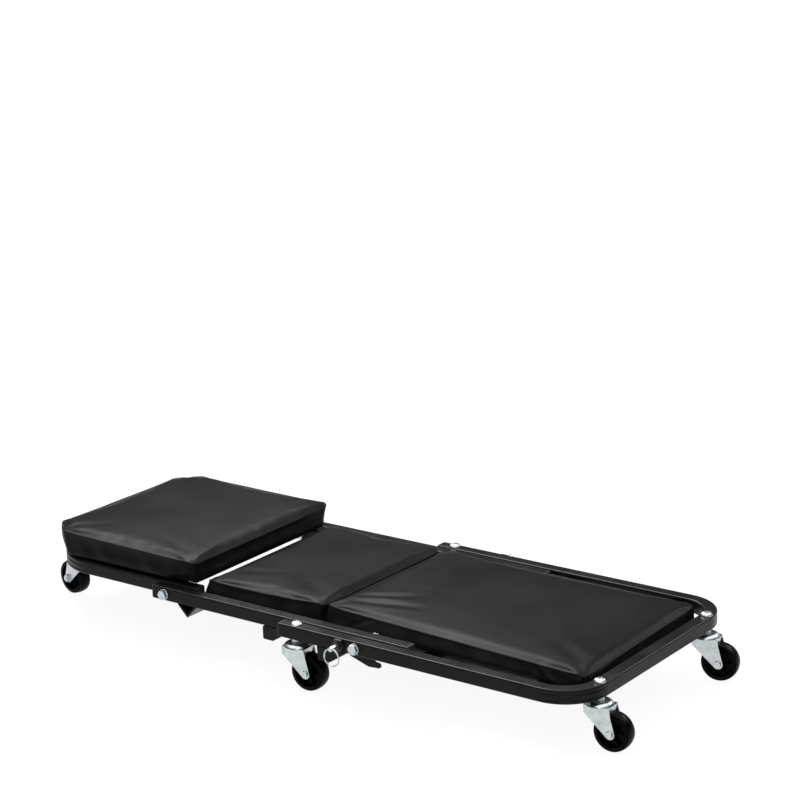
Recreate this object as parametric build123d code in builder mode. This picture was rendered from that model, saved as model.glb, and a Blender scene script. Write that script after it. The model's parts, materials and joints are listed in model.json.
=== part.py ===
"""Mechanics creeper that folds in a Z into a rolling stool.

Three padded sections on square steel tube: head, middle and foot, joined by two pairs of
pivot bolts and carried on six swivel casters. It is modelled flat, as the creeper.

Millimetres, +Z up, +X towards the foot end. The origin is on the floor, under the middle of
the object. Left and right are those of somebody lying on it: right is -Y.
"""
import os
from math import cos, radians, sin, sqrt

from build123d import *

os.makedirs("parts", exist_ok=True)

# ---------------------------------------------------------------- driving dimensions
tube = 20.0                   # square tube, outside
wall = 2.0
tube_corner = 2.5
rail_gap = 2.0                # between the rails that lie side by side
overall_width = 405.0
rail_z = 82.5                 # height of every rail's centreline above the floor
bend_radius = 55.0            # centreline of the foot frame's bent corners
head_bend_radius = 80.0
bend_groove = 1.3             # depth of the grooves that bending leaves

foot_pivot_x = 135.0
pivot_spacing = 364.0         # foot pivot to head pivot
foot_length = 362.0           # foot pivot to foot end
head_length = 268.0           # head pivot to head end
outrigger_length = 133.0      # foot pivot to the outrigger's end
middle_tail = 70.0            # middle rail past the foot pivot
middle_overhang = 22.0        # middle rail past the head pivot
head_tail = 40.0              # head rail past the head pivot

pivot_bolt = 8.0
bore_play = 0.1               # on the diameter, where a part turns on a bolt
free_gap = 0.4                # between faces of pieces that turn past each other

wheel_radius = 27.0
wheel_width = 20.0
caster_trail = 21.0
fork_sheet = 1.8
fork_inside = 12.2            # half the gap between the legs
fork_drop = 10.4              # fork's top plate below the rails
axle_size = 6.0

sheet = 3.0                   # stop channel, gussets and hook plates
board = 8.0
screw = 5.0
screw_bite = 6.0              # how far the screws go into the boards
pad_half_width = 149.0
pad_top = 104.0
head_pad_half_width = 154.0
head_pad_top = 135.5
head_pad_base = 100.5

pin_offset = 27.0             # pull pin from the foot pivot
pin_size = 7.0
pin_travel = 8.0
ring_radius = 12.5
ring_wire = 2.2

# ---------------------------------------------------------------- places worked out from them
head_pivot_x = foot_pivot_x - pivot_spacing
foot_end_x = foot_pivot_x + foot_length
head_end_x = head_pivot_x - head_length
outrigger_end_x = foot_pivot_x - outrigger_length
foot_half = overall_width / 2
middle_half = foot_half - tube - rail_gap
head_half = middle_half - tube - rail_gap
rail_bottom = rail_z - tube / 2
rail_top = rail_z + tube / 2
fork_top = rail_bottom - fork_drop
pin_x = foot_pivot_x - pin_offset
corner_bolt_y = 141.0
head_bolt_y = 83.0
outrigger_bolt_x = foot_pivot_x - 108.5

sides = {"right": -1, "left": 1}
foot_bar_places = (foot_pivot_x + 95, foot_pivot_x + 278)
foot_screw_places = [(x, s * 110) for x in foot_bar_places for s in sides.values()]
middle_screw_places = [(foot_pivot_x - 170, s * 110) for s in sides.values()]
head_screw_places = [(head_pivot_x - 110, s * 110) for s in sides.values()]
pad_seam_x = foot_pivot_x - 98
casters = {                   # swivel axis x, y, and the way the wheel trails in degrees
    "foot_right": (foot_end_x - tube / 2, -corner_bolt_y, 4),
    "foot_left": (foot_end_x - tube / 2, corner_bolt_y, 12),
    "middle_right": (outrigger_bolt_x, -foot_half + tube / 2, 4),
    "middle_left": (outrigger_bolt_x, foot_half - tube / 2, 8),
    "head_right": (head_end_x + 11, -head_bolt_y, 172),
    "head_left": (head_end_x + 11, head_bolt_y, 168),
}
foot_caster_places = [casters[k][:2] for k in casters if not k.startswith("head")]
head_caster_places = [casters[k][:2] for k in casters if k.startswith("head")]


def save(part, name):
    """Label a finished piece and write it."""
    part.part.label = name
    export_step(part.part, f"parts/{name}.step")


def side_plane(x, y, z, outward):
    """A plane facing outward along Y, with its own x along +X."""
    return Plane(origin=(x, y, z), x_dir=(1, 0, 0), z_dir=(0, outward, 0))


def upright_section(y):
    """The XZ plane at y, drawn with x along +X and y along +Z."""
    return Plane(origin=(0, y, 0), x_dir=(1, 0, 0), z_dir=(0, -1, 0))


def tube_section():
    RectangleRounded(tube, tube, tube_corner)
    RectangleRounded(tube - 2 * wall, tube - 2 * wall, tube_corner - wall, mode=Mode.SUBTRACT)


def drill_across(x, diameter):
    """A hole along Y through everything at x, at rail height."""
    with BuildSketch(upright_section(foot_half + 1)) as hole:
        with Locations((x, rail_z)):
            Circle(diameter / 2)
    extrude(hole.sketch, amount=2 * foot_half + 2, mode=Mode.SUBTRACT)


def drill_up(places, diameter, low, high):
    """Vertical holes between two heights."""
    with BuildSketch(Plane.XY.offset(low)) as holes:
        with Locations(*places):
            Circle(diameter / 2)
    extrude(holes.sketch, amount=high - low, mode=Mode.SUBTRACT)


def groove_bends(end_x, half_width, radius):
    """The two grooves that bending presses in each corner's outer wall, fading out at its ends."""
    turn = 1 if end_x > 0 else -1
    outer = radius + tube / 2
    shift = bend_groove / (sqrt(2) - 1)                 # the cutter's axis, in from the bend's own
    section = 4.0
    for sign in sides.values():
        axis_x = end_x - turn * (outer + shift)
        axis_y = sign * (half_width - outer - shift)
        for height in (rail_z - 4.4, rail_z + 4.4):
            with BuildSketch(Plane(origin=(axis_x, axis_y, height), x_dir=(turn, 0, 0),
                                   z_dir=(0, -1, 0))) as cut:
                with Locations((outer + shift + section, 0)):
                    Circle(section)
            revolve(cut.sketch, axis=Axis((axis_x, axis_y, 0), (0, 0, turn * sign)),
                    revolution_arc=90, mode=Mode.SUBTRACT)


def bent_frame(end_x, open_x, half_width, radius):
    """One tube bent into a U, its centreline from open_x round end_x and back."""
    turn = 1 if end_x > open_x else -1
    inset = half_width - tube / 2
    straight_end = end_x - turn * (tube / 2 + radius)
    with BuildLine() as centre:
        side = Line((open_x, -inset, rail_z), (straight_end, -inset, rail_z))
        bend = JernArc(side @ 1, side % 1, radius, turn * 90)
        end = Line(bend @ 1, (end_x - turn * tube / 2, inset - radius, rail_z))
        second = JernArc(end @ 1, end % 1, radius, turn * 90)
        Line(second @ 1, (open_x, inset, rail_z))
    with BuildSketch(Plane(origin=side @ 0, x_dir=(0, 1, 0), z_dir=side % 0)) as section:
        tube_section()
    sweep(sections=section.sketch, path=centre.line)


# ---------------------------------------------------------------- frames and rails
def foot_frame():
    with BuildPart() as part:
        bent_frame(foot_end_x, outrigger_end_x, foot_half, bend_radius)
        drill_across(foot_pivot_x, pivot_bolt)
        drill_across(pin_x, 12)
        drill_up(foot_caster_places, pivot_bolt, rail_bottom - 1, rail_top + 1)
        groove_bends(foot_end_x, foot_half, bend_radius)
    save(part, "foot_frame")


def head_frame():
    with BuildPart() as part:
        bent_frame(head_end_x, head_pivot_x + head_tail, head_half, head_bend_radius)
        drill_across(head_pivot_x, pivot_bolt + bore_play)
        drill_up(head_caster_places, pivot_bolt, rail_bottom - 1, rail_top + 1)
        groove_bends(head_end_x, head_half, head_bend_radius)
    save(part, "head_frame")


def middle_rail(side):
    """Straight rail with a bore at each pivot and the pull pin's hole in its outer wall."""
    sign = sides[side]
    start = head_pivot_x - middle_overhang
    centre_y = sign * (middle_half - tube / 2)
    with BuildPart() as part:
        with BuildSketch(Plane.YZ.offset(start)):
            with Locations((centre_y, rail_z)):
                RectangleRounded(tube, tube, tube_corner)
                RectangleRounded(tube - 2 * wall, tube - 2 * wall, tube_corner - wall,
                                 mode=Mode.SUBTRACT)
        extrude(amount=foot_pivot_x + middle_tail - start)
        drill_across(foot_pivot_x, pivot_bolt + bore_play)
        drill_across(head_pivot_x, pivot_bolt)
        with BuildSketch(side_plane(pin_x, sign * (middle_half - wall - 1), rail_z, sign)):
            Circle(pin_size / 2 + 0.8)
        extrude(amount=wall + 2, mode=Mode.SUBTRACT)
    save(part, f"middle_rail_{side}")


def end_caps(name, ends):
    """Plastic plugs; each end is x, y and the way the tube opens."""
    flange = 1.6
    plug = 12.0
    with BuildPart() as part:
        for x, y, way in ends:
            with BuildSketch(Plane.YZ.offset(x)):
                with Locations((y, rail_z)):
                    RectangleRounded(tube - 0.6, tube - 0.6, tube_corner)
            extrude(amount=way * flange)
            with BuildSketch(Plane.YZ.offset(x)):
                with Locations((y, rail_z)):
                    RectangleRounded(tube - 2 * wall, tube - 2 * wall, 0.9)
                    RectangleRounded(tube - 2 * wall - 4, tube - 2 * wall - 4, 0.5,
                                     mode=Mode.SUBTRACT)
            extrude(amount=-way * plug)
    save(part, name)


# ---------------------------------------------------------------- cross members and stops
def middle_cross_tube():
    """Square tube under the middle rails, which carries the board."""
    centre_x = foot_pivot_x - 170
    with BuildPart() as part:
        with BuildSketch(Plane.XZ.offset(-middle_half)):
            with Locations((centre_x, rail_bottom - tube / 2)):
                RectangleRounded(tube, tube, tube_corner)
                RectangleRounded(tube - 2 * wall, tube - 2 * wall, tube_corner - wall,
                                 mode=Mode.SUBTRACT)
        extrude(amount=2 * middle_half)
        drill_up(middle_screw_places, screw, rail_bottom - tube - 1, rail_bottom + 1)
        for sign in sides.values():                     # plugged ends
            with BuildSketch(upright_section(middle_half if sign > 0 else 2 - middle_half)):
                with Locations((centre_x, rail_bottom - tube / 2)):
                    Rectangle(tube - 2 * wall, tube - 2 * wall)
            extrude(amount=2)
    save(part, "middle_cross_tube")


def stop_angle():
    """Angle iron under the middle rails, point down: the head section folds onto its face."""
    leg = 25.0
    thick = 3.0
    half = leg / sqrt(2)
    # the face lies free_gap clear of the head rails when those are folded to 135 degrees
    apex_x = head_pivot_x + (tube / 2 + free_gap) * sqrt(2) + tube / 2 + half
    apex_z = rail_bottom - half
    rise = thick * sqrt(2)
    with BuildPart() as part:
        with BuildSketch(Plane.XZ.offset(-middle_half)):
            with BuildLine():
                Polyline(
                    (apex_x, apex_z), (apex_x + half, rail_bottom),
                    (apex_x + half - rise, rail_bottom), (apex_x, apex_z + rise),
                    (apex_x - half + rise, rail_bottom), (apex_x - half, rail_bottom),
                    close=True,
                )
            make_face()
        extrude(amount=2 * middle_half)
        with Locations((apex_x - half, 0, rail_bottom)):    # clears the head rails' tails
            Box(20, 2 * (head_half + 1), 2 * free_gap, mode=Mode.SUBTRACT)
    save(part, "stop_angle")


def stop_channel():
    """Folded channel under the foot rails: the middle rails lie on it, and their tails stop on it."""
    top = rail_bottom - free_gap
    low = rail_bottom - 20
    face = foot_pivot_x - rail_z - (tube / 2 + free_gap) * sqrt(2)      # x less z on the 45 degree face
    left = foot_pivot_x - 65
    half = foot_half - sheet
    slant = sheet * sqrt(2)
    bend = sheet * (sqrt(2) - 1)
    with BuildPart() as part:
        with BuildSketch(Plane.XZ.offset(-half)):
            with BuildLine():
                Polyline(
                    (left, top), (left, low), (face + low, low), (face + top, top),
                    (face + top - slant, top), (face + low - bend, low + sheet),
                    (left + sheet, low + sheet), (left + sheet, top), close=True,
                )
            make_face()
        extrude(amount=2 * half)
        for sign in sides.values():                     # slots that let the hook plates swing through
            with Locations((foot_pivot_x - 30, sign * (middle_half - sheet / 2), rail_bottom - 1)):
                Box(36, 7, 26, mode=Mode.SUBTRACT)
    save(part, "stop_channel")


def stop_gussets():
    """Plates that close the stop channel's ends and weld it to the rails."""
    with BuildPart() as part:
        for sign in sides.values():
            near = foot_half if sign > 0 else sheet - foot_half
            with BuildSketch(upright_section(near)):
                with BuildLine():
                    Polyline(
                        (foot_pivot_x - 66, rail_bottom), (foot_pivot_x - 64, rail_bottom - 20),
                        (foot_pivot_x - 46, rail_bottom - 20), (foot_pivot_x - 16, rail_bottom),
                        close=True,
                    )
                make_face()
            extrude(amount=sheet)
    save(part, "stop_gussets")


def hook_plates():
    """Notched plates under the middle rails: the pull pin drops into the notch when folded."""
    seat = pin_offset / sqrt(2)                         # where the folded pin lies, right and down
    notch = pin_size / 2 + 0.7
    with BuildPart() as part:
        for sign in sides.values():
            near = middle_half if sign > 0 else sheet - middle_half
            with BuildSketch(upright_section(near)):
                with BuildLine():
                    Polyline(
                        (foot_pivot_x + seat - notch, rail_z - seat),
                        (foot_pivot_x + seat - notch, rail_bottom),
                        (foot_pivot_x - 20, rail_bottom), (foot_pivot_x - 26, rail_z - 22),
                        (foot_pivot_x + 6, rail_z - 32), (foot_pivot_x + 22, rail_z - 31),
                    )
                    ThreePointArc((foot_pivot_x + 22, rail_z - 31), (foot_pivot_x + 26.4, rail_z - 27.6),
                                  (foot_pivot_x + 24, rail_z - 24))
                    Line((foot_pivot_x + 24, rail_z - 24), (foot_pivot_x + seat, rail_z - seat - notch))
                    ThreePointArc(
                        (foot_pivot_x + seat, rail_z - seat - notch),
                        (foot_pivot_x + seat - notch * cos(radians(45)),
                         rail_z - seat - notch * sin(radians(45))),
                        (foot_pivot_x + seat - notch, rail_z - seat),
                    )
                make_face()
            extrude(amount=sheet)
    save(part, "hook_plates")


def cross_bars(name, places, half_span):
    """Flat bars welded between rails, level with the rails' lower faces."""
    with BuildPart() as part:
        with Locations(*[(x, 0, rail_bottom + sheet / 2) for x in places]):
            Box(30, 2 * half_span, sheet)
        drill_up(foot_screw_places, screw, rail_bottom - 1, rail_bottom + sheet + 1)
    save(part, name)


def head_cross_tube():
    """Square tube between the head rails."""
    span = head_half - tube
    with BuildPart() as part:
        with BuildSketch(Plane.XZ.offset(-span)):
            with Locations((head_pivot_x - 110, rail_z)):
                RectangleRounded(tube, tube, tube_corner)
                RectangleRounded(tube - 2 * wall, tube - 2 * wall, tube_corner - wall,
                                 mode=Mode.SUBTRACT)
        extrude(amount=2 * span)
        drill_up(head_screw_places, screw, rail_bottom - 1, rail_top + 1)
    save(part, "head_cross_tube")


# ---------------------------------------------------------------- boards, pads and their screws
def board_and_pad(name, x_low, x_high, base, top, corner_low, corner_high, screw_places):
    """Ply board wrapped by a simple closed pad: a slab with a pocket for the board."""
    length = x_high - x_low
    middle = (x_high + x_low) / 2
    wrap = 4.0
    with BuildPart() as pad:
        with BuildSketch(Plane.XY.offset(base)):
            with Locations((middle, 0)):
                Rectangle(length, 2 * pad_half_width)
        extrude(amount=top - base)
        fillet(pad.edges().filter_by(Axis.Z).group_by(Axis.X)[0], corner_low)
        fillet(pad.edges().filter_by(Axis.Z).group_by(Axis.X)[-1], corner_high)
        fillet(pad.faces().sort_by(Axis.Z)[-1].edges(), 5)
        with BuildSketch(Plane.XY.offset(base)):
            with Locations((middle, 0)):
                Rectangle(length - 2 * wrap, 2 * (pad_half_width - wrap))
        extrude(amount=board, mode=Mode.SUBTRACT)
    save(pad, f"{name}_pad")
    with BuildPart() as panel:
        with BuildSketch(Plane.XY.offset(base)):
            with Locations((middle, 0)):
                Rectangle(length - 2 * wrap, 2 * (pad_half_width - wrap))
        extrude(amount=board)
        drill_up(screw_places, screw, base - 1, base + screw_bite)
    save(panel, f"{name}_board")


def head_board_and_pad():
    """The head board lies on the rails, and the thick pad overhangs it all round."""
    x_low = head_end_x + 17
    x_high = head_pivot_x + 42
    inset = 14.0
    with BuildPart() as pad:
        with BuildSketch(Plane.XY.offset(head_pad_base)):
            with Locations(((x_low + x_high) / 2, 0)):
                Rectangle(x_high - x_low, 2 * head_pad_half_width)
        extrude(amount=head_pad_top - head_pad_base)
        fillet(pad.edges().filter_by(Axis.Z).group_by(Axis.X)[0], 32)
        fillet(pad.edges().filter_by(Axis.Z).group_by(Axis.X)[-1], 8)
        fillet(pad.faces().sort_by(Axis.Z)[-1].edges(), 6)
    save(pad, "head_pad")
    with BuildPart() as panel:
        with BuildSketch(Plane.XY.offset(rail_top)):
            with Locations(((x_low + x_high) / 2, 0)):
                Rectangle(x_high - x_low - 2 * inset, 2 * (head_pad_half_width - inset))
        extrude(amount=head_pad_base - rail_top)
        fillet(panel.edges().filter_by(Axis.Z).group_by(Axis.X)[0], 22)
        drill_up(head_screw_places, screw, rail_top - 1, rail_top + screw_bite)
    save(panel, "head_board")


def pan_screws(name, places, under, grip):
    """Pan-head screws driven up; under is the height of the face that the heads bear on."""
    size = screw
    head = size * 0.95
    with BuildPart() as part:
        for x, y in places:
            with BuildSketch(Plane.XY.offset(under)):
                with Locations((x, y)):
                    Circle(head)
            extrude(amount=-0.55 * size, taper=18)
            with BuildSketch(Plane.XY.offset(under)):
                with Locations((x, y)):
                    Circle(size / 2)
            extrude(amount=grip)
            with BuildSketch(Plane.XY.offset(under - 0.55 * size)):
                with Locations((x, y)):
                    Rectangle(size * 0.9, 0.9)
                    Rectangle(0.9, size * 0.9)
            extrude(amount=1.3, mode=Mode.SUBTRACT)
    save(part, name)


# ---------------------------------------------------------------- pivots
def hexagon(plane, across_flats, height, hole=0.0):
    """A hexagonal head or nut standing on the plane."""
    with BuildSketch(plane) as shape:
        RegularPolygon(across_flats / 2, 6, major_radius=False)
        if hole:
            Circle(hole / 2, mode=Mode.SUBTRACT)
    extrude(shape.sketch, amount=height)


def pivot_bolts(name, x, outer_half, inner_face):
    """Hex bolts along Y from the outer rail's face to past the inner rail."""
    reach = outer_half - inner_face + 9.2
    with BuildPart() as part:
        for sign in sides.values():
            face = sign * (outer_half + 1.6)
            hexagon(side_plane(x, face, rail_z, sign), 13, 5.3)
            with BuildSketch(side_plane(x, face, rail_z, sign)):
                Circle(pivot_bolt / 2)
            extrude(amount=-(reach + 1.6))
    save(part, name)


def rings_on_bolt(name, x, faces, outer, inner, hexagonal=False):
    """Washers or nuts round the pivot bolts; faces are pairs of distance from the middle."""
    with BuildPart() as part:
        for sign in sides.values():
            for low, high in faces:
                with BuildSketch(side_plane(x, sign * low, rail_z, sign)):
                    if hexagonal:
                        RegularPolygon(outer / 2, 6, major_radius=False)
                    else:
                        Circle(outer / 2)
                    Circle(inner / 2, mode=Mode.SUBTRACT)
                extrude(amount=high - low)
    save(part, name)


def pivot_set(name, x, outer_half, inner_half):
    """Bolt, outside and spacer washers, and lock nut of one hinge, both sides."""
    inner_face = inner_half - tube
    pivot_bolts(f"{name}_pivot_bolts", x, outer_half, inner_face)
    rings_on_bolt(
        f"{name}_pivot_washers", x,
        [(outer_half, outer_half + 1.6), (inner_half + free_gap, outer_half - tube - free_gap)],
        16, pivot_bolt + 0.2,
    )
    nut_face = inner_face - free_gap
    rings_on_bolt(f"{name}_pivot_nuts", x, [(nut_face - 7.5, nut_face)], 13, pivot_bolt, True)


# ---------------------------------------------------------------- pull pins
def pin_barrels():
    """Threaded barrels through the foot rails, bored for the pin and its spring."""
    inner = foot_half - tube + 0.4
    outer = foot_half + 6.5
    with BuildPart() as part:
        for sign in sides.values():
            plane = side_plane(pin_x, sign * inner, rail_z, sign)
            with BuildSketch(plane):
                Circle(5.9)
            extrude(amount=outer - inner)
            hexagon(side_plane(pin_x, sign * foot_half, rail_z, sign), 17, 3.5)
            with BuildSketch(side_plane(pin_x, sign * (foot_half + 4.3), rail_z, sign)):
                Circle(6.5)                             # the thread's crests outside the nut
            extrude(amount=1.4)
            with BuildSketch(plane):
                Circle((pin_size + bore_play) / 2)
            extrude(amount=outer - inner + 1, mode=Mode.SUBTRACT)
            with BuildSketch(side_plane(pin_x, sign * (foot_half - 14), rail_z, sign)):
                Circle(4.9)
            extrude(amount=17, mode=Mode.SUBTRACT)
    save(part, "pin_barrels")


def pin_springs():
    """Closed-up springs between the barrels' mouths and the pins' collars."""
    low = foot_half - 1.4
    coil_radius = 4.15
    wire = 0.55
    with BuildPart() as part:
        for sign in sides.values():
            with BuildLine(mode=Mode.PRIVATE) as path:
                Helix(pitch=1.5, height=3.6, radius=coil_radius,
                      center=(pin_x, sign * low, rail_z), direction=(0, sign, 0))
            start = path.line @ 0
            with BuildSketch(Plane(origin=start, z_dir=path.line % 0)):
                Circle(wire)
            sweep(path=path.line, is_frenet=True)
    save(part, "pin_springs")


def pull_pin(side):
    """Turned pin with a collar for the spring and an eye for the ring, drawn out to its stop."""
    sign = sides[side]
    tip = foot_half - tube + 0.8
    end = foot_half + 21
    with BuildPart() as part:
        with BuildSketch(side_plane(pin_x, sign * tip, rail_z, sign)):
            Circle(pin_size / 2)
        extrude(amount=end - tip)
        chamfer(part.edges().filter_by(GeomType.CIRCLE), 0.9)
        with BuildSketch(side_plane(pin_x, sign * (foot_half - 5), rail_z, sign)):
            Circle(4.6)
        extrude(amount=3)
        with BuildSketch(Plane.YZ.offset(pin_x - 6)):
            with Locations((sign * (end - 4), rail_z)):
                Circle(ring_wire / 2 + 0.7)
        extrude(amount=12, mode=Mode.SUBTRACT)
    save(part, f"pull_pin_{side}")


def pull_ring(side):
    """Split ring hanging in the pin's eye."""
    sign = sides[side]
    with BuildPart() as part:
        with BuildSketch(Plane.YZ.offset(pin_x)):
            with Locations((sign * (foot_half + 17), rail_z)):
                Circle(ring_wire / 2)
        revolve(axis=Axis((pin_x, 0, rail_z - ring_radius), (0, 1, 0)))
    save(part, f"pull_ring_{side}")


# ---------------------------------------------------------------- casters
def stem_bolts(name, places):
    """Low domed bolts down through the rails, with the nut that holds the fork."""
    head_radius = 8.5
    with BuildPart() as part:
        for x, y in places:
            with BuildSketch(Plane(origin=(x, y, 0), x_dir=(1, 0, 0), z_dir=(0, -1, 0))):
                with BuildLine():
                    Polyline((0, rail_top + 4.4), (0, fork_top - 9), (pivot_bolt / 2, fork_top - 9),
                             (pivot_bolt / 2, rail_top), (head_radius, rail_top), (head_radius, rail_top + 1))
                    ThreePointArc((head_radius, rail_top + 1), (6.8, rail_top + 3.3), (3.5, rail_top + 4.4))
                    Line((3.5, rail_top + 4.4), (0, rail_top + 4.4))
                make_face()
            revolve(axis=Axis((x, y, 0), (0, 0, 1)))
    save(part, name)


def stem_nuts(name, places):
    """Nuts under the rails and thin ones under the forks' top plates."""
    with BuildPart() as part:
        for x, y in places:
            for low, high in ((fork_top + 4.6, rail_bottom), (fork_top - 8.4, fork_top - fork_sheet - free_gap)):
                hexagon(Plane(origin=(x, y, low)), 13, high - low, pivot_bolt)
    save(part, name)


def swivel_races(name, places):
    """Pressed cups clamped above the forks, which the ball races run under."""
    low = fork_top + free_gap
    high = fork_top + 4.6
    with BuildPart() as part:
        for x, y in places:
            with BuildSketch(Plane(origin=(x, y, 0), x_dir=(1, 0, 0), z_dir=(0, -1, 0))):
                with BuildLine():
                    Polyline((pivot_bolt / 2, high), (11, high))
                    ThreePointArc((11, high), (16.6, high - 1.1), (19, low))
                    Polyline((19, low), (17.2, low))
                    ThreePointArc((17.2, low), (15.4, high - 2.3), (11, high - 1.6))
                    Polyline((11, high - 1.6), (pivot_bolt / 2, high - 1.6), (pivot_bolt / 2, high))
                make_face()
            revolve(axis=Axis((x, y, 0), (0, 0, 1)))
    save(part, name)


def caster_plane(name, along, across, height, facing):
    """A plane of one caster: along its trail from the swivel, across it, above the floor."""
    x, y, trail_way = casters[name]
    ahead = Vector(cos(radians(trail_way)), sin(radians(trail_way)), 0)
    aside = Vector(-ahead.Y, ahead.X, 0)
    normals = {"up": Vector(0, 0, 1), "right": aside * -1, "left": aside}
    return Plane(origin=Vector(x, y, height) + ahead * along + aside * across,
                 x_dir=ahead, z_dir=normals[facing])


def fork(name):
    """Pressed fork: a round-ended top plate and two tapering legs down to the axle."""
    outside = fork_inside + fork_sheet
    with BuildPart() as part:
        with BuildSketch(caster_plane(name, 0, 0, fork_top - fork_sheet, "up")):
            with Locations((1, 0)):
                RectangleRounded(38, 2 * outside, 4)
            Circle(19)
        extrude(amount=fork_sheet)
        for near in (outside, -fork_inside):
            with BuildSketch(caster_plane(name, 0, near, 0, "right")):
                with Locations((1, fork_top - 5)):
                    Rectangle(36, 10)
                with Locations((caster_trail, wheel_radius)):
                    Circle(7)
                make_hull()
                with Locations((caster_trail, wheel_radius)):
                    Circle(axle_size / 2, mode=Mode.SUBTRACT)
            extrude(amount=fork_sheet)
        with BuildSketch(caster_plane(name, 18, 0, fork_top - 8, "up")):
            Rectangle(fork_sheet, 2 * outside)
        extrude(amount=8)
        with BuildSketch(caster_plane(name, 0, 0, fork_top - fork_sheet, "up")):
            Circle((pivot_bolt + bore_play) / 2)
        extrude(amount=fork_sheet, mode=Mode.SUBTRACT)
    save(part, f"caster_fork_{name}")


def axle(name):
    """Axle bolt with a round head, and its nut."""
    outside = fork_inside + fork_sheet
    near = caster_plane(name, caster_trail, -outside, wheel_radius, "right")
    far = caster_plane(name, caster_trail, outside, wheel_radius, "left")
    with BuildPart() as part:
        with BuildSketch(near):
            Circle(5.2)
        extrude(amount=2.6, taper=15)
        with BuildSketch(near):
            Circle(axle_size / 2)
        extrude(amount=-(2 * outside + 6))
        hexagon(far, 10, 4, axle_size)
    save(part, f"caster_axle_{name}")


def wheel(name):
    """Moulded wheel: crowned tread, dished web with ribs, and a hub that turns on the axle."""
    centre = caster_plane(name, caster_trail, 0, wheel_radius, "right")
    half = wheel_width / 2
    hub_half = fork_inside - free_gap
    bore = (axle_size + bore_play) / 2
    rim = 19.5
    hub = 7.5
    web = 3.0
    tread = wheel_radius - 1.2
    with BuildPart() as part:
        with BuildSketch(caster_plane(name, caster_trail, 0, wheel_radius, "up")):
            with BuildLine():
                Polyline((tread, -half + 1.4), (rim + 0.6, -half), (rim - 0.4, -web),
                         (hub, -web), (hub, -hub_half), (bore, -hub_half), (bore, hub_half),
                         (hub, hub_half), (hub, web), (rim - 0.4, web), (rim + 0.6, half),
                         (tread, half - 1.4))
                ThreePointArc((tread, half - 1.4), (wheel_radius, 0), (tread, -half + 1.4))
            make_face()
        revolve(axis=Axis(centre.origin, centre.z_dir))
        with BuildSketch(centre.offset(2 - half)):
            with PolarLocations((rim + hub) / 2 - 0.2, 6):
                Rectangle(rim - hub + 0.6, 1.8)
        extrude(amount=2 * (half - 2))
    save(part, f"caster_wheel_{name}")


# ---------------------------------------------------------------- build everything
foot_frame()
head_frame()
for side in sides:
    middle_rail(side)
    pull_pin(side)
    pull_ring(side)
outrigger_y = foot_half - tube / 2
middle_y = middle_half - tube / 2
head_y = head_half - tube / 2
end_caps("outrigger_end_caps", [(outrigger_end_x, s * outrigger_y, -1) for s in sides.values()])
end_caps("middle_end_caps",
         [(foot_pivot_x + middle_tail, s * middle_y, 1) for s in sides.values()]
         + [(head_pivot_x - middle_overhang, s * middle_y, -1) for s in sides.values()])
end_caps("head_end_caps", [(head_pivot_x + head_tail, s * head_y, 1) for s in sides.values()])

middle_cross_tube()
stop_angle()
stop_channel()
stop_gussets()
hook_plates()
cross_bars("foot_cross_bars", foot_bar_places, foot_half - tube)
head_cross_tube()

board_and_pad("foot", pad_seam_x, foot_pivot_x + 333, rail_bottom + sheet, pad_top, 8, 14,
              foot_screw_places)
board_and_pad("middle", head_pivot_x + 45, pad_seam_x - 3.5, rail_bottom, pad_top, 8, 8,
              middle_screw_places)
head_board_and_pad()
pan_screws("foot_board_screws", foot_screw_places, rail_bottom, sheet + screw_bite)
pan_screws("middle_board_screws", middle_screw_places, rail_bottom - tube, tube + screw_bite)
pan_screws("head_board_screws", head_screw_places, rail_bottom, tube + screw_bite)
with BuildPart() as rests:
    with Locations(*[(foot_pivot_x - 55, s * 100, rail_bottom + 1.3) for s in sides.values()]):
        Box(20, 40, 3.4)
save(rests, "board_rests")

pivot_set("foot", foot_pivot_x, foot_half, middle_half)
pivot_set("head", head_pivot_x, middle_half, head_half)
pin_barrels()
pin_springs()

stem_bolts("foot_caster_stems", foot_caster_places)
stem_nuts("foot_caster_nuts", foot_caster_places)
swivel_races("foot_caster_races", foot_caster_places)
stem_bolts("head_caster_stems", head_caster_places)
stem_nuts("head_caster_nuts", head_caster_places)
swivel_races("head_caster_races", head_caster_places)
for name in casters:
    fork(name)
    axle(name)
    wheel(name)
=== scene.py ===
import json
from math import cos, pi, radians, sin

import bpy
import numpy as np
from mathutils import Matrix, Vector


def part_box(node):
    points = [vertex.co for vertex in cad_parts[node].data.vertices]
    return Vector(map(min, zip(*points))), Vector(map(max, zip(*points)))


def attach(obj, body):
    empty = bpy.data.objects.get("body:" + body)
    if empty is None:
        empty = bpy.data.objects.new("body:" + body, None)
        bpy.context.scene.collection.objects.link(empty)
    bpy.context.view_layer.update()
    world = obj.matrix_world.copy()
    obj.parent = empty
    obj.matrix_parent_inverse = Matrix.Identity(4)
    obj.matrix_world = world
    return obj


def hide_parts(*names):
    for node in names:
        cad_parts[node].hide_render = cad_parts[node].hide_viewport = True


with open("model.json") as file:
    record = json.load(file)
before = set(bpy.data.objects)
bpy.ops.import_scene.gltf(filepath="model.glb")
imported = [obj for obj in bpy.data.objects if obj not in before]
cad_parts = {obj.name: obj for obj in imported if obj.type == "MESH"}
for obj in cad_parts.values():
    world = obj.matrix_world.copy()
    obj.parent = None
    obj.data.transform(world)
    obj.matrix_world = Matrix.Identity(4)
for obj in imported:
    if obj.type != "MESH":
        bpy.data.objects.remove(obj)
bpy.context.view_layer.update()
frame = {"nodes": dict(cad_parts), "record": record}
nodes = frame["nodes"]


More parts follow.
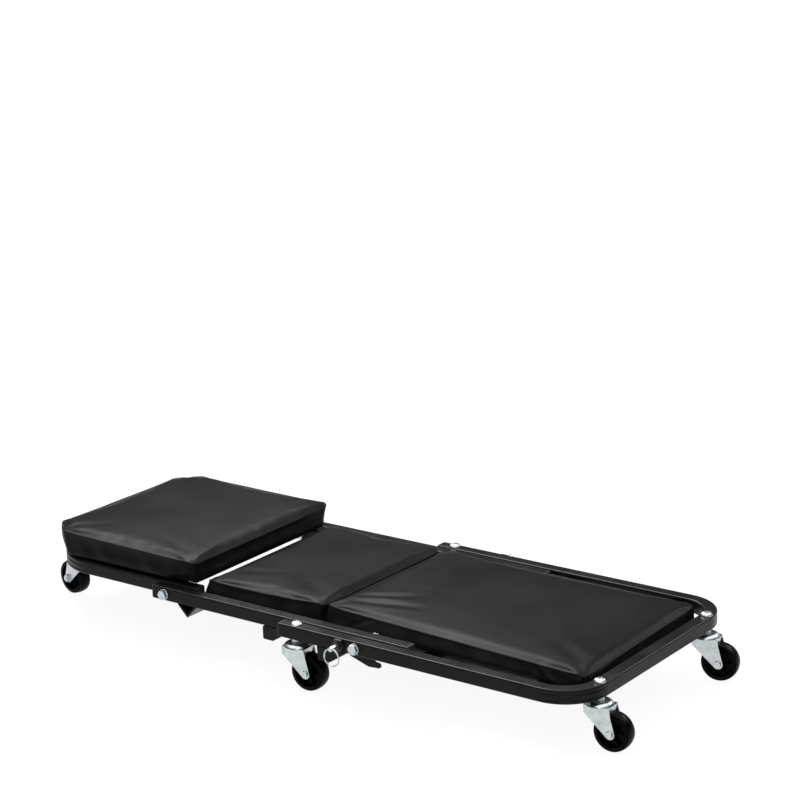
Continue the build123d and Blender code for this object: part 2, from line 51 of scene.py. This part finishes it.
# ---------------------------------------------------------------- materials
def material(name):
    """An empty node material, its node tree and its Principled shader."""
    mat = bpy.data.materials.new(name)
    mat.use_nodes = True
    tree = mat.node_tree
    return mat, tree, tree.nodes["Principled BSDF"]


def coordinates(tree, scale=(1, 1, 1)):
    """Object coordinates in metres, which stay with the piece when it moves."""
    coord = tree.nodes.new("ShaderNodeTexCoord")
    mapping = tree.nodes.new("ShaderNodeMapping")
    mapping.inputs["Scale"].default_value = scale
    tree.links.new(coord.outputs["Object"], mapping.inputs["Vector"])
    return mapping.outputs["Vector"]


def noise(tree, vector, scale, detail=3.0, roughness=0.5):
    """A noise value; scale is about how many blotches there are in a metre."""
    node = tree.nodes.new("ShaderNodeTexNoise")
    node.inputs["Scale"].default_value = scale
    node.inputs["Detail"].default_value = detail
    node.inputs["Roughness"].default_value = roughness
    tree.links.new(vector, node.inputs["Vector"])
    return node.outputs["Fac"]


def spread(tree, value, low, high, from_low=0.3, from_high=0.7):
    """Maps a noise value onto low..high."""
    node = tree.nodes.new("ShaderNodeMapRange")
    node.inputs["From Min"].default_value = from_low
    node.inputs["From Max"].default_value = from_high
    node.inputs["To Min"].default_value = low
    node.inputs["To Max"].default_value = high
    tree.links.new(value, node.inputs["Value"])
    return node.outputs["Result"]


def tint(tree, value, first, second, low=0.35, high=0.65):
    """A colour between two, by a noise value."""
    ramp = tree.nodes.new("ShaderNodeValToRGB")
    ramp.color_ramp.elements[0].position = low
    ramp.color_ramp.elements[0].color = (*first, 1)
    ramp.color_ramp.elements[1].position = high
    ramp.color_ramp.elements[1].color = (*second, 1)
    tree.links.new(value, ramp.inputs["Fac"])
    return ramp.outputs["Color"]


def bump(tree, height, strength, distance, normal=None):
    """A bumped normal; distance is the bumps' height in metres."""
    node = tree.nodes.new("ShaderNodeBump")
    node.inputs["Strength"].default_value = strength
    node.inputs["Distance"].default_value = distance
    tree.links.new(height, node.inputs["Height"])
    if normal:
        tree.links.new(normal, node.inputs["Normal"])
    return node.outputs["Normal"]


def powder_coat():
    """Satin black powder coat with faint orange peel and a few dull patches."""
    mat, tree, shader = material("powder_coat")
    where = coordinates(tree)
    peel = noise(tree, where, 900, 2.0)
    patches = noise(tree, where, 14, 4.0, 0.6)
    tree.links.new(tint(tree, patches, (0.0042, 0.0040, 0.0038), (0.0068, 0.0064, 0.0058)),
                   shader.inputs["Base Color"])
    tree.links.new(spread(tree, patches, 0.2, 0.36), shader.inputs["Roughness"])
    tree.links.new(bump(tree, peel, 0.05, 0.0003), shader.inputs["Normal"])
    shader.inputs["Specular IOR Level"].default_value = 0.12
    return mat


def vinyl():
    """Black upholstery vinyl: a fine leather grain over long soft ripples."""
    mat, tree, shader = material("vinyl")
    where = coordinates(tree)
    grain = tree.nodes.new("ShaderNodeTexVoronoi")
    grain.inputs["Scale"].default_value = 1100
    grain.feature = "SMOOTH_F1"
    tree.links.new(where, grain.inputs["Vector"])
    cloudy = noise(tree, where, 9, 5.0, 0.55)
    ripple = noise(tree, where, 26, 2.0, 0.4)
    tree.links.new(tint(tree, cloudy, (0.0040, 0.0038, 0.0039), (0.0066, 0.0062, 0.0062)),
                   shader.inputs["Base Color"])
    tree.links.new(spread(tree, cloudy, 0.34, 0.44), shader.inputs["Roughness"])
    soft = bump(tree, ripple, 0.1, 0.0025)
    tree.links.new(bump(tree, grain.outputs["Distance"], 0.2, 0.0003, soft), shader.inputs["Normal"])
    shader.inputs["Specular IOR Level"].default_value = 0.05
    return mat


def bright_zinc():
    """Bright zinc plate, slightly blue, with faint stains."""
    mat, tree, shader = material("bright_zinc")
    where = coordinates(tree)
    stain = noise(tree, where, 120, 4.0, 0.6)
    fine = noise(tree, where, 1500, 2.0)
    tree.links.new(tint(tree, stain, (0.46, 0.50, 0.515), (0.62, 0.655, 0.67)),
                   shader.inputs["Base Color"])
    tree.links.new(spread(tree, stain, 0.2, 0.36), shader.inputs["Roughness"])
    tree.links.new(bump(tree, fine, 0.08, 0.0002), shader.inputs["Normal"])
    shader.inputs["Metallic"].default_value = 1.0
    return mat


def black_oxide():
    """Blackened steel, worn lighter in patches."""
    mat, tree, shader = material("black_oxide")
    where = coordinates(tree)
    worn = noise(tree, where, 200, 4.0, 0.7)
    tree.links.new(tint(tree, worn, (0.02, 0.02, 0.022), (0.06, 0.06, 0.062)),
                   shader.inputs["Base Color"])
    tree.links.new(spread(tree, worn, 0.35, 0.5), shader.inputs["Roughness"])
    shader.inputs["Metallic"].default_value = 0.8
    return mat


def wheel_plastic():
    """Hard black moulded plastic, duller where it has run on the floor."""
    mat, tree, shader = material("wheel_plastic")
    where = coordinates(tree)
    scuff = noise(tree, where, 90, 5.0, 0.65)
    fine = noise(tree, where, 700, 2.0)
    tree.links.new(tint(tree, scuff, (0.0006, 0.0006, 0.0007), (0.0020, 0.0019, 0.0019)),
                   shader.inputs["Base Color"])
    tree.links.new(spread(tree, scuff, 0.24, 0.4), shader.inputs["Roughness"])
    tree.links.new(bump(tree, fine, 0.08, 0.0003), shader.inputs["Normal"])
    shader.inputs["Specular IOR Level"].default_value = 0.04
    return mat


def black_plastic():
    """Black plastic with a fine moulded grain, for the tube caps."""
    mat, tree, shader = material("black_plastic")
    where = coordinates(tree)
    fine = noise(tree, where, 1200, 2.0)
    cloudy = noise(tree, where, 60, 3.0)
    tree.links.new(tint(tree, cloudy, (0.012, 0.012, 0.012), (0.02, 0.02, 0.02)),
                   shader.inputs["Base Color"])
    tree.links.new(spread(tree, cloudy, 0.45, 0.6), shader.inputs["Roughness"])
    tree.links.new(bump(tree, fine, 0.15, 0.0003), shader.inputs["Normal"])
    return mat


def dark_board():
    """Ply stained nearly black, with its grain along X."""
    mat, tree, shader = material("dark_board")
    fibre = noise(tree, coordinates(tree, (3, 60, 60)), 3, 6.0, 0.65)
    tree.links.new(tint(tree, fibre, (0.016, 0.012, 0.009), (0.05, 0.036, 0.026)),
                   shader.inputs["Base Color"])
    tree.links.new(spread(tree, fibre, 0.5, 0.7), shader.inputs["Roughness"])
    tree.links.new(bump(tree, fibre, 0.2, 0.0006), shader.inputs["Normal"])
    return mat


finishes = {
    "powder_coat": powder_coat(),
    "vinyl": vinyl(),
    "board": dark_board(),
    "black_plastic": black_plastic(),
    "bright_zinc": bright_zinc(),
    "black_steel": black_oxide(),
    "wheel_plastic": wheel_plastic(),
}


def finish_with(obj, name):
    obj.data.materials.clear()
    obj.data.materials.append(finishes[name])


for part in frame["record"]["subparts"]:
    finish_with(nodes[part["node"]], part["material_slot"])


# ---------------------------------------------------------------- pads
# Lengths are in metres. A height up a pad's side goes from 0 at its foot to 1 at its top seam.
top_rows = (0.0, 0.0022, 0.0046, 0.009)      # close rows of the top, inwards from its edge
side_rows = (0.0, 0.0022, 0.0046)            # close rows of the sides
quad_size = 0.0065
cloth_frames = 18
seam_reach = 0.012                           # a seam point this near an edge moves out from it
seam_out = 0.0009
seam_up = 0.0010
side_depth = 0.008                           # how far in from an edge the sides' shaping fades out
pleat_in = 0.010                             # pleats: place beside the corner, width and depth
pleat_width = 0.0026
pleat_depth = 0.0030
fold_width = 0.005
sag_reach = 0.013
sag_end = 0.06                               # the sag fades out this far before the +X end
roll_reach = 0.015


def ladder(length, fine):
    """Positions from 0 to length: the fine rows at both ends, quad_size or so between them."""
    inner = length - 2 * fine[-1]
    count = max(2, round(inner / quad_size))
    middle = [fine[-1] + inner * i / count for i in range(1, count)]
    return np.array([*fine, *middle, *[length - f for f in reversed(fine)]])


def round_corners(x, y, half, radii, chamfer):
    """Rounds a rectangle's corners; radii by (sign x, sign y), chamfer 0 round to 1 cut straight."""
    x, y = x.copy(), y.copy()
    for (sx, sy), radius in radii.items():
        qx = x * sx - (half[0] - radius)
        qy = y * sy - (half[1] - radius)
        near = (qx > 0) & (qy > 0)
        big = np.maximum(qx, qy)[near]
        small = np.minimum(qx, qy)[near]
        angle = pi / 4 * small / np.maximum(big, 1e-9)
        big = big * (1 - chamfer + chamfer * cos(pi / 4) / np.cos(pi / 4 - angle))
        along = big * np.cos(angle)
        aside = big * np.sin(angle)
        wide = (qx > qy)[near]
        x[near] = sx * (half[0] - radius + np.where(wide, along, aside))
        y[near] = sy * (half[1] - radius + np.where(wide, aside, along))
    return x, y


def pad_cage(name, low, high, radii, chamfer):
    """A box of quads with shaped corners and close rows along its edges, and its top seam."""
    size = [h - l for l, h in zip(low, high)]
    centre, half = middle_and_half(low, high)
    xs = ladder(size[0], top_rows) - size[0] / 2
    ys = ladder(size[1], top_rows) - size[1] / 2
    zs = ladder(size[2], side_rows)
    end, side, top = len(xs) - 1, len(ys) - 1, len(zs) - 1
    index, points, faces = {}, [], []

    def quad(*keys):
        for i, j, k in keys:
            if (i, j, k) not in index:
                index[i, j, k] = len(points)
                points.append((xs[i], ys[j], zs[k]))
        faces.append([index[key] for key in keys])

    for i in range(end):
        for j in range(side):
            quad((i, j, 0), (i, j + 1, 0), (i + 1, j + 1, 0), (i + 1, j, 0))
            quad((i, j, top), (i + 1, j, top), (i + 1, j + 1, top), (i, j + 1, top))
    for k in range(top):
        for i in range(end):
            quad((i, 0, k), (i + 1, 0, k), (i + 1, 0, k + 1), (i, 0, k + 1))
            quad((i, side, k), (i, side, k + 1), (i + 1, side, k + 1), (i + 1, side, k))
        for j in range(side):
            quad((0, j, k), (0, j, k + 1), (0, j + 1, k + 1), (0, j + 1, k))
            quad((end, j, k), (end, j + 1, k), (end, j + 1, k + 1), (end, j, k + 1))
    places = np.array(points)
    places[:, 0], places[:, 1] = round_corners(places[:, 0], places[:, 1], half, radii, chamfer)
    places += (centre[0], centre[1], low[2])
    mesh = bpy.data.meshes.new(name)
    mesh.from_pydata(places.tolist(), [], faces)
    mesh.update()
    obj = bpy.data.objects.new(name, mesh)
    bpy.context.scene.collection.objects.link(obj)
    seam = [index[i, j, k] for i, j, k in index if k == top and (i in (0, end) or j in (0, side))]
    return obj, seam


def middle_and_half(low, high):
    """A box's centre and half sizes."""
    return [(l + h) / 2 for l, h in zip(low, high)], [(h - l) / 2 for l, h in zip(low, high)]


def coords(obj):
    flat = np.empty(len(obj.data.vertices) * 3)
    obj.data.vertices.foreach_get("co", flat)
    return flat.reshape(-1, 3)


def put_coords(obj, places):
    obj.data.vertices.foreach_set("co", places.ravel())
    obj.data.update()


def apply_modifiers(obj):
    """Bakes obj's modifiers into its mesh."""
    shaped = bpy.data.meshes.new_from_object(obj.evaluated_get(bpy.context.evaluated_depsgraph_get()))
    old = obj.data
    obj.modifiers.clear()
    obj.data = shaped
    bpy.data.meshes.remove(old)


def inflate(obj, pinned, pressure, cap):
    """Blows the cover up against its foam with the Cloth modifier, and caps how far it moves."""
    start = coords(obj).copy()
    group = obj.vertex_groups.new(name="held")
    group.add([int(i) for i in pinned], 1.0, "REPLACE")
    cloth = obj.modifiers.new("cover", "CLOTH")
    settings = cloth.settings
    settings.quality = 6
    settings.mass = 0.4
    settings.tension_stiffness = 40
    settings.compression_stiffness = 12
    settings.shear_stiffness = 20
    settings.bending_stiffness = 1.2
    settings.use_pressure = True
    settings.uniform_pressure_force = pressure
    settings.vertex_group_mass = "held"
    settings.effector_weights.gravity = 0
    cloth.point_cache.frame_start = 1
    cloth.point_cache.frame_end = cloth_frames
    scene = bpy.context.scene
    for step in range(1, cloth_frames + 1):
        scene.frame_set(step)
    apply_modifiers(obj)
    scene.frame_set(1)
    move = coords(obj) - start
    far = np.linalg.norm(move, axis=1, keepdims=True)
    put_coords(obj, start + move * (cap * np.tanh(far / cap) / np.maximum(far, 1e-9)))
    obj.vertex_groups.clear()


def raise_seam(obj, seam, centre, half):
    """Stands the folded edge of the top panel a little proud all round."""
    places = coords(obj)
    x = places[:, 0] - centre[0]
    y = places[:, 1] - centre[1]
    away = np.stack([np.where(half[0] - np.abs(x) < seam_reach, np.sign(x), 0),
                     np.where(half[1] - np.abs(y) < seam_reach, np.sign(y), 0)], 1)
    away /= np.maximum(np.linalg.norm(away, axis=1, keepdims=True), 1)
    places[seam, 0] += away[seam, 0] * seam_out
    places[seam, 1] += away[seam, 1] * seam_out
    places[seam, 2] += seam_up
    put_coords(obj, places)


def subdivide(obj):
    smooth = obj.modifiers.new("smooth", "SUBSURF")
    smooth.levels = 1
    smooth.render_levels = 1
    apply_modifiers(obj)


def wrinkle(along, across, way, length, width, depth, at):
    """One soft crease: a dent that runs from at, fading out along its length."""
    u = (along - at[0]) * cos(way) + (across - at[1]) * sin(way)
    v = -(along - at[0]) * sin(way) + (across - at[1]) * cos(way)
    fade = np.clip(u / length, 0, 1)
    inside = (u > 0) & (u < length)
    body = np.exp(-(v / width) ** 2) - 0.55 * np.exp(-((np.abs(v) - 1.7 * width) / width) ** 2)
    return np.where(inside, -depth * body * np.sin(pi * fade ** 0.7) ** 1.2, 0)


def pleats(from_end, from_side, up):
    """Folds down the sides beside each corner: how far in along x and along y they go."""
    tall = np.clip(up / 0.25, 0, 1) * (0.35 + 0.65 * up)
    on_end = np.clip(1 - from_end / 0.005, 0, 1)
    on_side = np.clip(1 - from_side / 0.005, 0, 1)
    in_x = pleat_depth * np.exp(-((from_side - pleat_in) / pleat_width) ** 2) * on_end * tall
    in_y = pleat_depth * np.exp(-((from_end - pleat_in) / pleat_width) ** 2) * on_side * tall
    return in_x, in_y


def side_fold(x, y, up, half, start, end, depth):
    """A slanting fold in the -Y side, from start to end, each (x, height up the side)."""
    on_side = np.clip(1 - (half[1] + y) / side_depth, 0, 1) * (y < 0)
    share = np.clip((up - start[1]) / (end[1] - start[1]), 0, 1)
    off = x - (start[0] + (end[0] - start[0]) * share)
    swell = -0.6 * np.exp(-((off - 2 * fold_width) / (1.6 * fold_width)) ** 2)
    body = np.exp(-(off / fold_width) ** 2) + swell
    return depth * on_side * np.sin(pi * np.clip(up, 0, 1)) * body


def lean(x, y, up, half, moves):
    """Blends each top corner's own move over the pad, full at its top and none at its foot."""
    total = np.zeros((len(x), 3))
    for (sx, sy), move in moves.items():
        share_x = 1 + sx * np.clip(x / half[0], -1, 1)
        share_y = 1 + sy * np.clip(y / half[1], -1, 1)
        total += (share_x * share_y * up / 4)[:, None] * np.array(move)
    return total


def shape_top(places, x, y, up, half, crown, creases):
    """Crowns the top panel and presses its creases in; says how far each point is on the top."""
    dome_x = 1 - np.clip(np.abs(x) / half[0], 0, 1) ** 3
    dome_y = 1 - np.clip(np.abs(y) / half[1], 0, 1) ** 3
    places[:, 2] += crown * (dome_x * dome_y) * up ** 2
    on_top = np.clip((up - 0.8) / 0.2, 0, 1)
    for crease in creases:
        places[:, 2] += on_top * wrinkle(x, y, *crease)
    return on_top


def shape_sides(places, x, y, up, half, on_top, bulge, folds):
    """Soft dents, corner pleats and folds in the sides, and the bulge of the two long ones."""
    from_end = half[0] - np.abs(x)
    from_side = half[1] - np.abs(y)
    side = np.clip(1 - np.minimum(from_end, from_side) / side_depth, 0, 1) * (1 - on_top)
    wave = (0.0011 * np.sin(x * 61 + 1.3 * np.sin(x * 23)) * np.sin(y * 57 + 0.8)
            + 0.0008 * np.sin((x + y) * 131 + 2.0 * np.sin(y * 37)))
    pull = side * np.sin(pi * np.clip(up, 0, 1)) * wave
    in_x, in_y = pleats(from_end, from_side, up)
    out = bulge * side * np.sin(pi * np.clip(0.15 + 0.75 * up, 0, 1))
    places[:, 0] += (pull - in_x) * np.sign(x) * (from_end < from_side)
    places[:, 1] += (pull + out - in_y) * np.sign(y) * (from_side < from_end)
    for start, end, depth in folds:
        places[:, 1] += side_fold(x, y, up, half, start, end, depth)


def shape_edges(places, x, y, up, half, sag, roll):
    """Lets the foot of the sides sag, except at the +X end, and rolls the top over that end."""
    edge = np.clip(1 - np.minimum(half[0] + x, half[1] - np.abs(y)) / sag_reach, 0, 1)
    edge = edge * np.clip((half[0] - x) / sag_end, 0, 1)
    places[:, 2] -= sag * edge * (1 - up)
    places[:, 2] -= roll * np.clip(1 - (half[0] - x) / roll_reach, 0, 1) ** 2 * up ** 2


def shape_pad(obj, low, high, crown, creases, bulge, folds, sag, roll, moves):
    centre, half = middle_and_half(low, high)
    places = coords(obj)
    x = places[:, 0] - centre[0]
    y = places[:, 1] - centre[1]
    up = np.clip((places[:, 2] - low[2]) / (high[2] - low[2]), 0, 1)
    on_top = shape_top(places, x, y, up, half, crown, creases)
    shape_sides(places, x, y, up, half, on_top, bulge, folds)
    shape_edges(places, x, y, up, half, sag, roll)
    places += lean(x, y, up, half, moves)
    put_coords(obj, places)


def make_pad(node, name, body, *, lower, radii, chamfer, pressure, cap, crown, creases, moves,
             roll, bulge=0.0, sag=0.0, folds=()):
    """The cover that stands for a CAD pad. lower is how far its flat top lies below the CAD one."""
    low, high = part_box(node)
    high = (high[0], high[1], high[2] - lower)
    obj, seam = pad_cage(name, low, high, radii, chamfer)
    held = np.where(coords(obj)[:, 2] < low[2] + 0.001)[0]
    inflate(obj, held, pressure, cap)
    raise_seam(obj, seam, *middle_and_half(low, high))
    subdivide(obj)
    shape_pad(obj, low, high, crown, creases, bulge, folds, sag, roll, moves)
    for face in obj.data.polygons:
        face.use_smooth = True
    finish_with(obj, "vinyl")
    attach(obj, body)
    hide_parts(node)


def corners(low_x, high_x):
    """A value for the two corners at the -X end, and one for those at the +X end."""
    return {(-1, -1): low_x, (-1, 1): low_x, (1, -1): high_x, (1, 1): high_x}


# A crease is (direction, length, width, depth, its start from the pad's centre).
# moves shifts the corners of the top, by (sign x, sign y).
make_pad("head_pad", "head_cushion", "head_section", lower=0.003,
         radii=corners(0.034, 0.010), chamfer=0.8, pressure=3.2, cap=0.004, crown=0.003,
         creases=[(radians(160), 0.09, 0.010, 0.0006, (0.12, -0.13)),
                  (radians(35), 0.08, 0.008, 0.0005, (-0.12, -0.14))],
         moves={(-1, -1): (-0.005, -0.009, 0.002), (-1, 1): (-0.001, 0.010, 0.002),
                (1, -1): (0.001, -0.010, -0.001), (1, 1): (0.002, 0.011, 0)},
         roll=0.0055, sag=0.0045)
make_pad("middle_pad", "middle_cushion", "middle_section", lower=0.002,
         radii=corners(0.008, 0.012), chamfer=0.0, pressure=2.2, cap=0.0035, crown=0.0015,
         creases=[(radians(150), 0.10, 0.012, 0.0006, (0.095, -0.12)),
                  (radians(20), 0.09, 0.010, 0.0005, (-0.09, -0.10))],
         moves={(-1, -1): (0.005, 0.005, 0), (-1, 1): (0.004, 0, 0),
                (1, -1): (0.001, 0.007, 0.0045)},
         roll=0.0045, bulge=0.003)
make_pad("foot_pad", "foot_cushion", "foot_section", lower=0.002,
         radii=corners(0.012, 0.012), chamfer=0.0, pressure=2.2, cap=0.0035, crown=0.0015,
         creases=[(radians(18), 0.13, 0.009, 0.0014, (-0.20, -0.118)),
                  (radians(34), 0.11, 0.008, 0.0011, (-0.20, -0.10)),
                  (radians(150), 0.10, 0.012, 0.0006, (0.20, -0.12))],
         moves={(-1, -1): (0, 0.007, 0.0045), (1, -1): (0.003, -0.002, -0.005)},
         roll=0.0045, bulge=0.006,
         folds=[((0.165, 0.05), (0.135, 0.95), 0.0035), ((-0.185, 0.1), (-0.135, 0.9), 0.003)])


# ---------------------------------------------------------------- stage, light and camera
aim = (0, 0, 0.1)
floor_drop = 0.0005
rails_raised = 0.0015                        # the rails stand this much higher than in the camera's fit
azimuth, elevation, roll_angle = radians(36.5465), radians(15.7541), radians(-1.5541)
camera_at = (1.99506, -2.5927, 1.2852 + rails_raised)


def floor():
    """A white floor that gives most of its light itself, so shadows on it stay light."""
    bpy.ops.mesh.primitive_plane_add(size=60, location=(0, 0, -floor_drop))
    obj = bpy.context.object
    obj.name = "floor"
    mat, tree, shader = material("floor")
    shader.inputs["Base Color"].default_value = (0.075, 0.075, 0.075, 1)
    shader.inputs["Emission Color"].default_value = (1, 1, 1, 1)
    shader.inputs["Emission Strength"].default_value = 0.93
    shader.inputs["Roughness"].default_value = 0.9
    shader.inputs["Specular IOR Level"].default_value = 0.0
    obj.data.materials.append(mat)
    return obj


def lamp(name, at, width, height, watts):
    """A rectangular lamp turned towards the object."""
    data = bpy.data.lights.new(name, "AREA")
    data.shape = "RECTANGLE"
    data.size = width
    data.size_y = height
    data.energy = watts
    obj = bpy.data.objects.new(name, data)
    bpy.context.scene.collection.objects.link(obj)
    way = Vector(aim) - Vector(at)
    obj.matrix_world = Matrix.Translation(at) @ way.to_track_quat("-Z", "Y").to_matrix().to_4x4()
    return obj


def camera():
    back = Vector((sin(azimuth) * cos(elevation), -cos(azimuth) * cos(elevation), sin(elevation)))
    right = Vector((cos(azimuth), sin(azimuth), 0))
    up = back.cross(right)
    across = right * cos(roll_angle) + up * sin(roll_angle)
    above = up * cos(roll_angle) - right * sin(roll_angle)
    data = bpy.data.cameras.new("camera")
    data.sensor_width = 36
    data.lens = 107.2467
    data.clip_end = 200
    obj = bpy.data.objects.new("camera", data)
    bpy.context.scene.collection.objects.link(obj)
    turn = Matrix((across, above, back)).transposed().to_4x4()
    obj.matrix_world = Matrix.Translation(camera_at) @ turn
    bpy.context.scene.camera = obj


def studio_sky():
    """White light that is dim at the horizon and bright overhead."""
    world = bpy.data.worlds.new("studio")
    bpy.context.scene.world = world
    world.use_nodes = True
    sky = world.node_tree
    where = sky.nodes.new("ShaderNodeTexCoord")
    split = sky.nodes.new("ShaderNodeSeparateXYZ")
    rise = sky.nodes.new("ShaderNodeMapRange")
    rise.inputs["From Min"].default_value = 0.45
    rise.inputs["From Max"].default_value = 0.90
    rise.inputs["To Min"].default_value = 0.12
    rise.inputs["To Max"].default_value = 2.0
    sky.links.new(where.outputs["Generated"], split.inputs["Vector"])
    sky.links.new(split.outputs["Z"], rise.inputs["Value"])
    sky.links.new(rise.outputs["Result"], sky.nodes["Background"].inputs["Strength"])
    sky.nodes["Background"].inputs["Color"].default_value = (1, 1, 1, 1)


floor()
lamp("key", (-1.6, 1.2, 2.6), 1.8, 1.8, 125)
lamp("rim", (1.1, 2.4, 1.7), 1.6, 0.7, 24)
lamp("fill", (2.0, -2.6, 1.6), 1.2, 1.2, 12)
studio_sky()
bpy.context.scene.view_settings.view_transform = "Standard"
camera()
